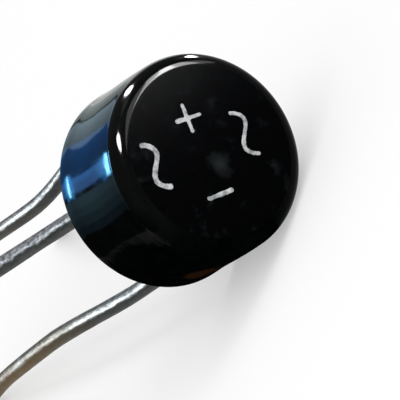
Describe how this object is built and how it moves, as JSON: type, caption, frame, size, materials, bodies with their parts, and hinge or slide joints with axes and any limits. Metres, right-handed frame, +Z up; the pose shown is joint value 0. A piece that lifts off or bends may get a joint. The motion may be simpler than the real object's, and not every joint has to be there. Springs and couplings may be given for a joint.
{
  "type": "diode bridge rectifier",
  "caption": "Small round moulded diode bridge rectifier with stiff tinned wire leads on a square, lying on its rim and lead tips.",
  "frame": {"origin": "centre of the flat lead-side face of the body", "axes": "+Y along the leads, away from the body; +Z up as it lies on its rim and two lead tips; marked face towards -Y"},
  "size_m": [0.013, 0.0335, 0.0094],
  "materials": {
    "case_black": "glossy moulded side, fine satin marked face",
    "epoxy_fill": "cast epoxy, satin",
    "tinned_wire": "hot tinned copper, mottled satin",
    "silicon_die": "glass-passivated silicon",
    "solder_layer": "solder",
    "white_ink": "printed ink, slightly rough"
  },
  "bodies": {
    "root": {"case_shell": "case_black", "potting": "epoxy_fill", "lead_plus": "tinned_wire", "lead_minus": "tinned_wire", "lead_ac_left": "tinned_wire", "lead_ac_right": "tinned_wire", "die_plus_left": "silicon_die", "die_plus_right": "silicon_die", "die_minus_left": "silicon_die", "die_minus_right": "silicon_die", "solder_plus_left_ac": "solder_layer", "solder_plus_left_dc": "solder_layer", "solder_plus_right_ac": "solder_layer", "solder_plus_right_dc": "solder_layer", "solder_minus_left_ac": "solder_layer", "solder_minus_left_dc": "solder_layer", "solder_minus_right_ac": "solder_layer", "solder_minus_right_dc": "solder_layer", "mark_plus": "white_ink", "mark_minus": "white_ink", "mark_ac_left": "white_ink", "mark_ac_right": "white_ink"}
  },
  "joints": []
}
